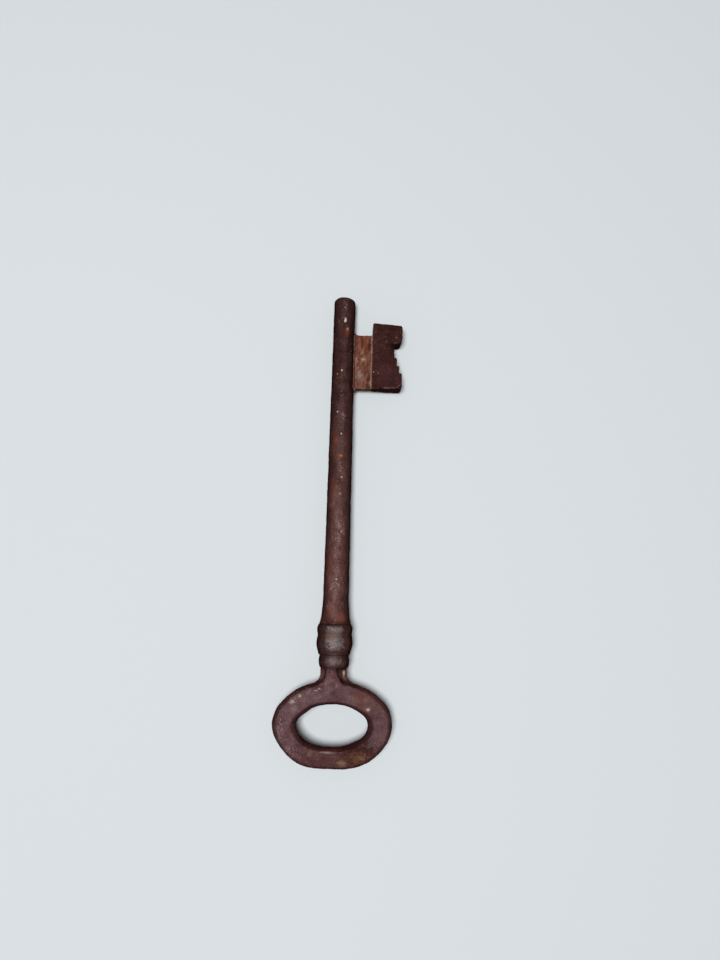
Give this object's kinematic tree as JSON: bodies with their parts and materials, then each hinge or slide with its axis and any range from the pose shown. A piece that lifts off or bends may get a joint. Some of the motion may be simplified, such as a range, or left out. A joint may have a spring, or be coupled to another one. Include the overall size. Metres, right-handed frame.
{
  "type": "iron bit key",
  "caption": "Old iron lever-lock key: long round shank with a pin nose, beaded collar, flat oval bow, and a bit with a thin web, thick wing and ward cuts.",
  "frame": {"origin": "on the shank's axis, where the straight pin nose begins behind the tip", "axes": "+Y along the shank to the tip, +X towards the bit, +Z square to the bow's flat faces"},
  "size_m": [0.0365, 0.1453, 0.0108],
  "materials": {
    "shank_iron": "wrought iron, rusted dark brown and handled smooth",
    "bit_iron": "filed wrought iron, rusted brown, copper-tinted on the web",
    "bit_braze": "old brass braze, dull under rust",
    "collar_iron": "turned wrought iron, rust worn grey on the bead tops",
    "bow_iron": "forged iron, even purple-brown rust patina"
  },
  "bodies": {
    "root": {"shank": "shank_iron", "bit": "bit_iron", "bit_braze": "bit_braze", "collar": "collar_iron", "neck_ring": "collar_iron", "bow": "bow_iron"}
  },
  "joints": []
}
